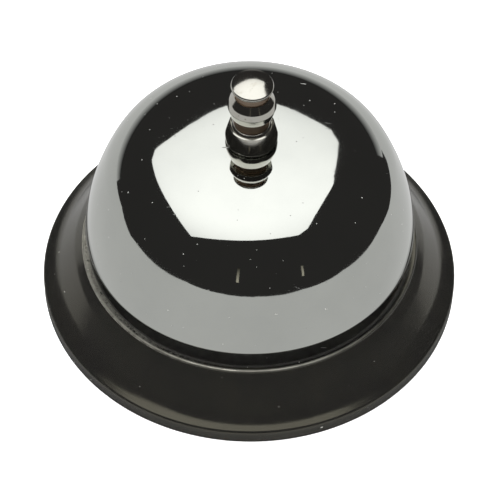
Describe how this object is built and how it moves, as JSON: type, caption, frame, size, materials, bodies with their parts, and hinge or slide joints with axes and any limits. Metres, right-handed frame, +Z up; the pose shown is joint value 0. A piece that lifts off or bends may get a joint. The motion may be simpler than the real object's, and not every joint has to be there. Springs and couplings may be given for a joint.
{
  "type": "counter service bell",
  "caption": "Round desk bell: chromed gong on a black pressed base, rung by pressing a turned knob that swings a striker inside.",
  "frame": {"origin": "on the table under the bell's axis, at the centre of the base", "axes": "+Z up along the bell's axis; the striker swings in the XZ plane on the +X side"},
  "size_m": [0.085, 0.085, 0.058],
  "materials": {
    "black_paint": "satin black stove enamel",
    "black_plate": "matt black",
    "grip_rubber": "matt rubber",
    "bell_chrome": "bright chrome plate",
    "fibre": "vulcanised fibre",
    "nickel": "bright nickel plate",
    "zinc_steel": "zinc plated",
    "spring_steel": "drawn wire",
    "brass": "turned"
  },
  "bodies": {
    "base": {"base_dish": "black_paint", "bottom_plate": "black_plate", "grip_ring": "grip_rubber", "bell": "bell_chrome", "seat_washer": "fibre", "bell_nut": "nickel", "post": "nickel", "post_washer": "zinc_steel", "post_nut": "zinc_steel", "spring_plug": "zinc_steel", "return_spring": "spring_steel", "striker_frame": "zinc_steel", "frame_rivets": "zinc_steel", "pivot_pin": "spring_steel", "pivot_washers": "brass", "pin_clip": "spring_steel"},
    "button": {"knob": "nickel", "plunger": "zinc_steel"},
    "striker": {"striker_lever": "zinc_steel", "pivot_bush": "brass", "hammer_head": "brass", "hammer_rivet": "zinc_steel"}
  },
  "joints": [
    {"name": "button_press", "type": "slide", "parent": "base", "child": "button", "axis": [0, 0, -1], "range_m": [0, 0.003], "stiffness_N_per_m": 300, "springref_m": -0.004, "deforming": ["return_spring"]},
    {"name": "striker_swing", "type": "hinge", "parent": "base", "child": "striker", "pos_m": [0.012, 0, 0.033], "axis": [0, -1, 0], "range_deg": [0, 18.22]}
  ],
  "couplings": [
    {"joint": "striker_swing", "follows": "button_press", "rad_per_m": 105.99}
  ]
}
